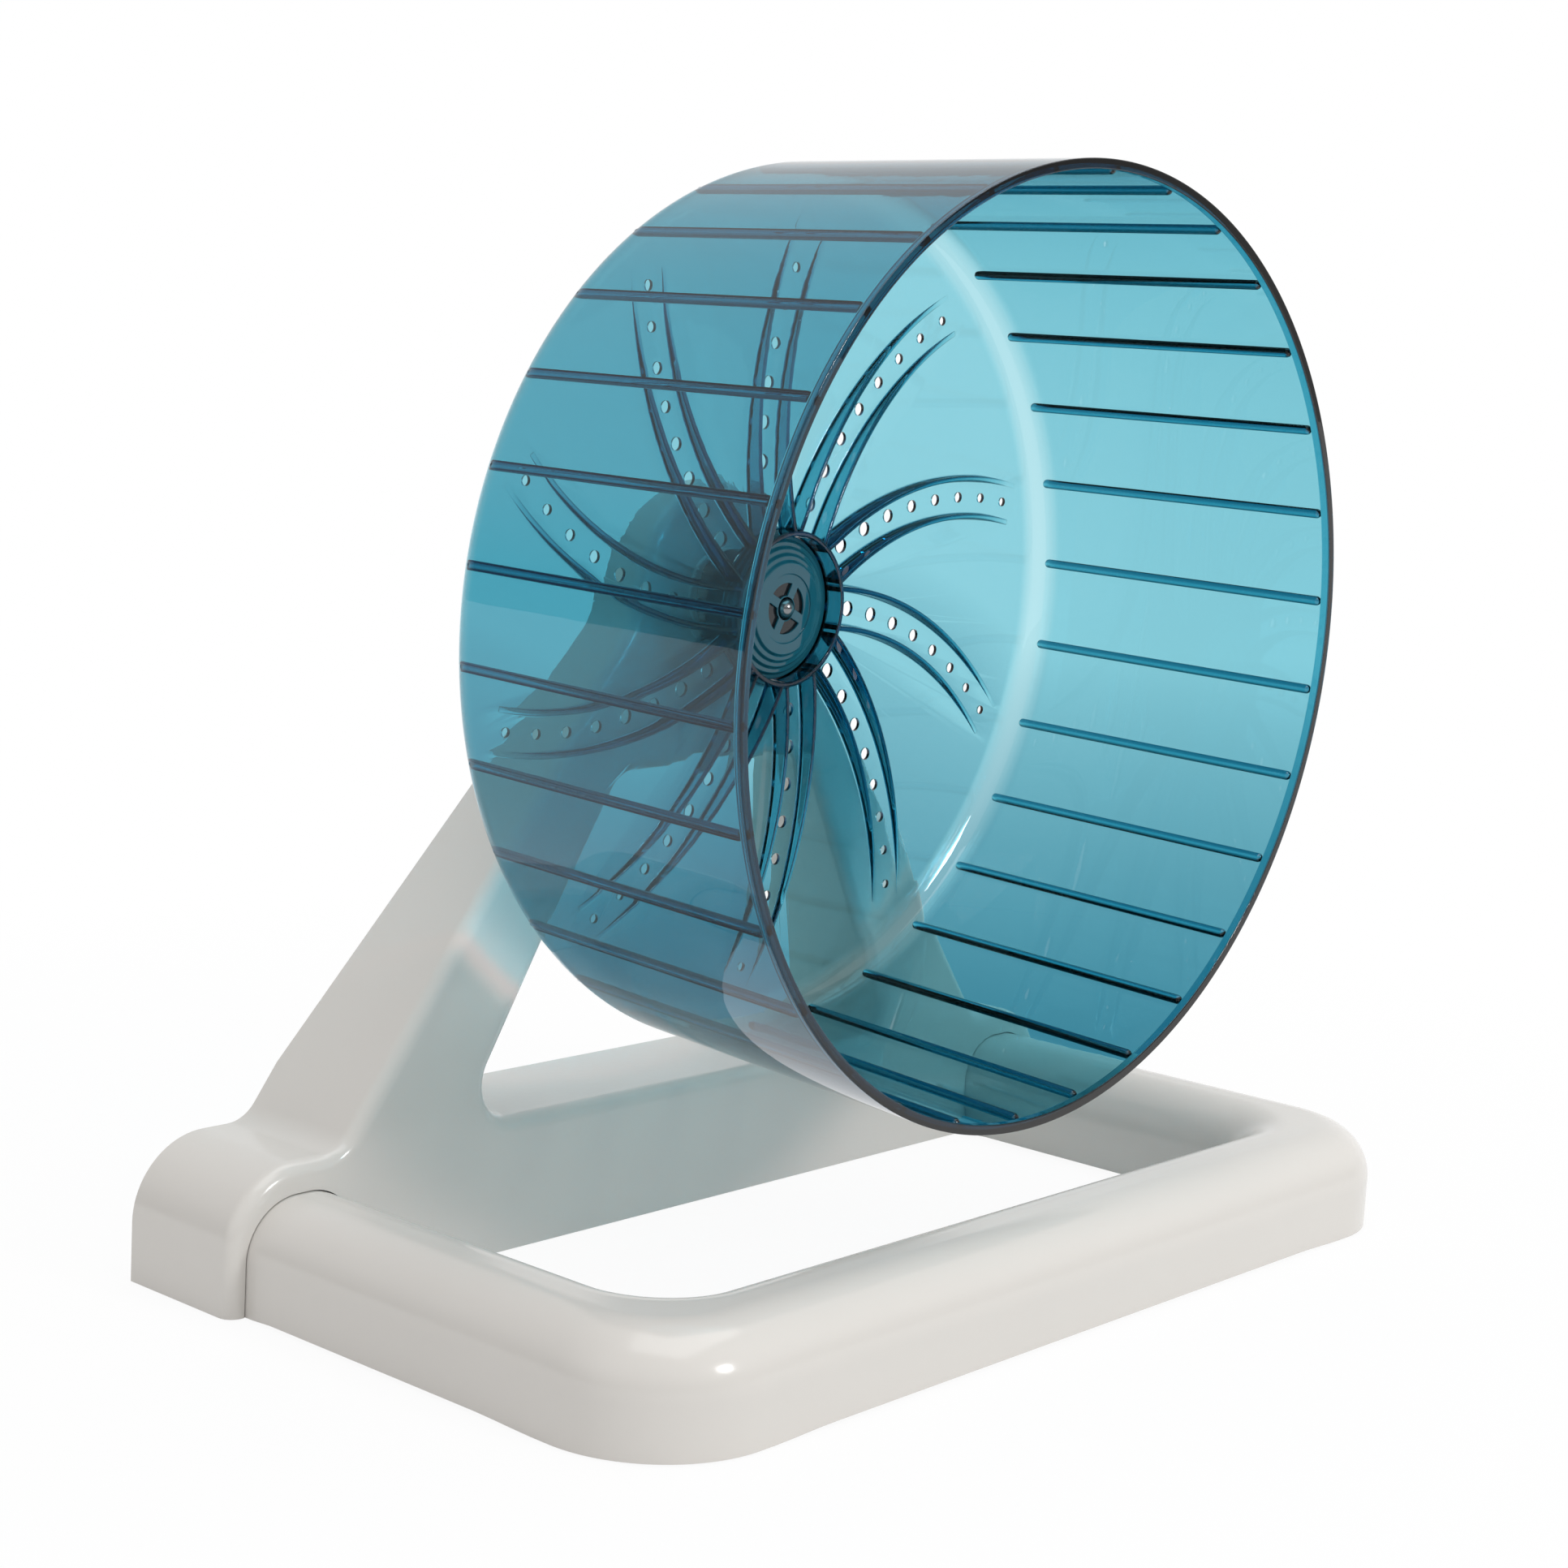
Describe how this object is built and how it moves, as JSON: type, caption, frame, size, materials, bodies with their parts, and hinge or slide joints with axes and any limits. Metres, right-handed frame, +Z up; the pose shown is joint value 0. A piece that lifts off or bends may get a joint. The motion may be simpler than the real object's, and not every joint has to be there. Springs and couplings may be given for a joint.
{
  "type": "rodent exercise wheel",
  "caption": "Clear drum running wheel for a hamster or other rodent, open at the front, turning on ball bearings on an A-frame stand with a U-shaped base.",
  "frame": {"origin": "on the ground, under the middle of the stand's bounding box", "axes": "+Z up, +X across the stand, and the open side of the drum faces -Y"},
  "size_m": [0.374, 0.207, 0.3346],
  "materials": {
    "stand_plastic": "high-gloss warm off-white moulded plastic",
    "drum_plastic": "clear blue-green tinted moulded plastic, polished",
    "hub_plastic": "clear tinted moulded plastic, polished",
    "bright_steel": "polished steel",
    "zinc_steel": "zinc-plated steel, satin",
    "spring_steel": "dark phosphated spring steel",
    "cage_nylon": "natural nylon",
    "pad_rubber": "soft grey rubber"
  },
  "bodies": {
    "stand": {"rear_frame": "stand_plastic", "frame_back_cover": "stand_plastic", "cover_screws": "zinc_steel", "front_base": "stand_plastic", "base_screws": "zinc_steel", "rubber_feet": "pad_rubber", "axle": "bright_steel", "axle_washer": "zinc_steel", "axle_nut": "zinc_steel", "axle_clip": "spring_steel", "bearing_spacer": "zinc_steel", "front_inner_ring": "bright_steel", "rear_inner_ring": "bright_steel"},
    "wheel": {"wheel_drum": "drum_plastic", "hub_cover": "hub_plastic", "bearing_clip": "spring_steel", "front_outer_ring": "bright_steel", "rear_outer_ring": "bright_steel", "front_bearing_shields": "zinc_steel", "rear_bearing_shields": "zinc_steel"},
    "front_cage": {"front_ball_cage": "cage_nylon", "front_balls": "bright_steel"},
    "rear_cage": {"rear_ball_cage": "cage_nylon", "rear_balls": "bright_steel"}
  },
  "joints": [
    {"name": "wheel_spin", "type": "hinge", "parent": "stand", "child": "wheel", "pos_m": [0, 0.0575, 0.1991], "axis": [0, 0.9994, 0.0349], "continuous": true},
    {"name": "front_cage_roll", "type": "hinge", "parent": "stand", "child": "front_cage", "pos_m": [0, 0.0575, 0.1991], "axis": [0, 0.9994, 0.0349], "continuous": true},
    {"name": "rear_cage_roll", "type": "hinge", "parent": "stand", "child": "rear_cage", "pos_m": [0, 0.0575, 0.1991], "axis": [0, 0.9994, 0.0349], "continuous": true}
  ],
  "couplings": [
    {"joint": "front_cage_roll", "follows": "wheel_spin", "ratio": 0.6323},
    {"joint": "rear_cage_roll", "follows": "wheel_spin", "ratio": 0.6323}
  ]
}
